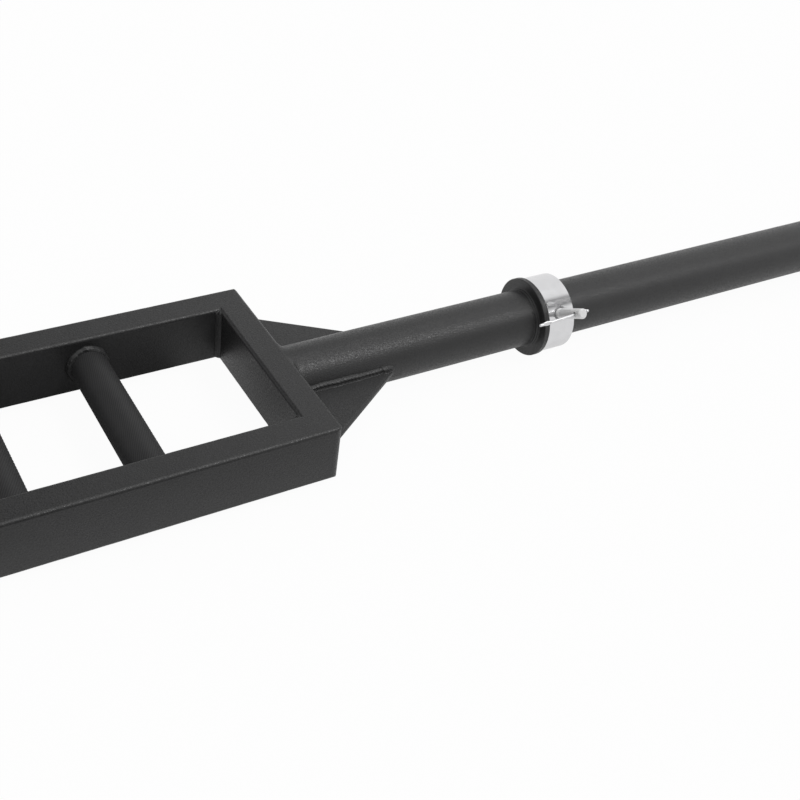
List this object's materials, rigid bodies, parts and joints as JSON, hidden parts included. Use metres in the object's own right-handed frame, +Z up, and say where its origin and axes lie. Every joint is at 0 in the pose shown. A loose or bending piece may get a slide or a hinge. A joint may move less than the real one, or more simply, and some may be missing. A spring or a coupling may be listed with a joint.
{
  "type": "swiss bar",
  "caption": "Multi-grip pressing bar: a welded rectangular tube frame with parallel knurled grips, flanged loading sleeves, and ring collars clamped by a screw with a sliding tommy bar.",
  "frame": {"origin": "on the floor below the middle of the bar, which rests on its two flanges", "axes": "+X along the bar to its right end, +Y from the front rail to the rear rail, +Z up"},
  "size_m": [2.192, 0.195, 0.0734],
  "materials": {
    "powder_black": "satin fine-textured black powder coat",
    "weld_black": "weld bead under the same black powder coat",
    "knurl_black": "knurled steel under black powder coat",
    "plug_plastic": "matt black moulded plastic",
    "ring_zinc": "bright zinc plate over a turned ring",
    "screw_zinc": "bright zinc plate over a cut thread",
    "rod_steel": "plated wire rod"
  },
  "bodies": {
    "frame": {"front_rail": "powder_black", "rear_rail": "powder_black", "left_end_rail": "powder_black", "right_end_rail": "powder_black", "left_wide_grip": "knurl_black", "left_middle_grip": "knurl_black", "left_narrow_grip": "knurl_black", "right_narrow_grip": "knurl_black", "right_middle_grip": "knurl_black", "right_wide_grip": "knurl_black", "left_sleeve_tube": "powder_black", "right_sleeve_tube": "powder_black", "left_front_gusset": "powder_black", "left_rear_gusset": "powder_black", "right_front_gusset": "powder_black", "right_rear_gusset": "powder_black", "left_flange": "powder_black", "right_flange": "powder_black", "left_end_plug": "plug_plastic", "right_end_plug": "plug_plastic", "frame_corner_welds": "weld_black", "front_grip_welds": "weld_black", "rear_grip_welds": "weld_black", "left_root_weld": "weld_black", "right_root_weld": "weld_black", "left_gusset_welds": "weld_black", "right_gusset_welds": "weld_black", "left_flange_weld": "weld_black", "right_flange_weld": "weld_black"},
    "left_collar": {"left_collar_ring": "ring_zinc"},
    "left_screw": {"left_clamp_screw": "screw_zinc"},
    "left_tommy": {"left_tommy_bar": "rod_steel"},
    "right_collar": {"right_collar_ring": "ring_zinc"},
    "right_screw": {"right_clamp_screw": "screw_zinc"},
    "right_tommy": {"right_tommy_bar": "rod_steel"}
  },
  "joints": [
    {"name": "left_collar_slide", "type": "slide", "parent": "frame", "child": "left_collar", "axis": [-1, 0, 0], "range_m": [0, 0.435]},
    {"name": "left_screw_turn", "type": "hinge", "parent": "left_collar", "child": "left_screw", "pos_m": [-0.6912, 0, 0.035], "axis": [0, -0.8387, 0.5446], "range_deg": [0, 1080]},
    {"name": "left_tommy_slide", "type": "slide", "parent": "left_screw", "child": "left_tommy", "axis": [-0.999, 0.0238, 0.0366], "range_m": [0, 0.0238]},
    {"name": "right_collar_slide", "type": "slide", "parent": "frame", "child": "right_collar", "axis": [1, 0, 0], "range_m": [0, 0.435]},
    {"name": "right_screw_turn", "type": "hinge", "parent": "right_collar", "child": "right_screw", "pos_m": [0.6912, 0, 0.035], "axis": [0, -0.8387, 0.5446], "range_deg": [0, 1080]},
    {"name": "right_tommy_slide", "type": "slide", "parent": "right_screw", "child": "right_tommy", "axis": [0.999, 0.0238, 0.0366], "range_m": [0, 0.0238]}
  ]
}
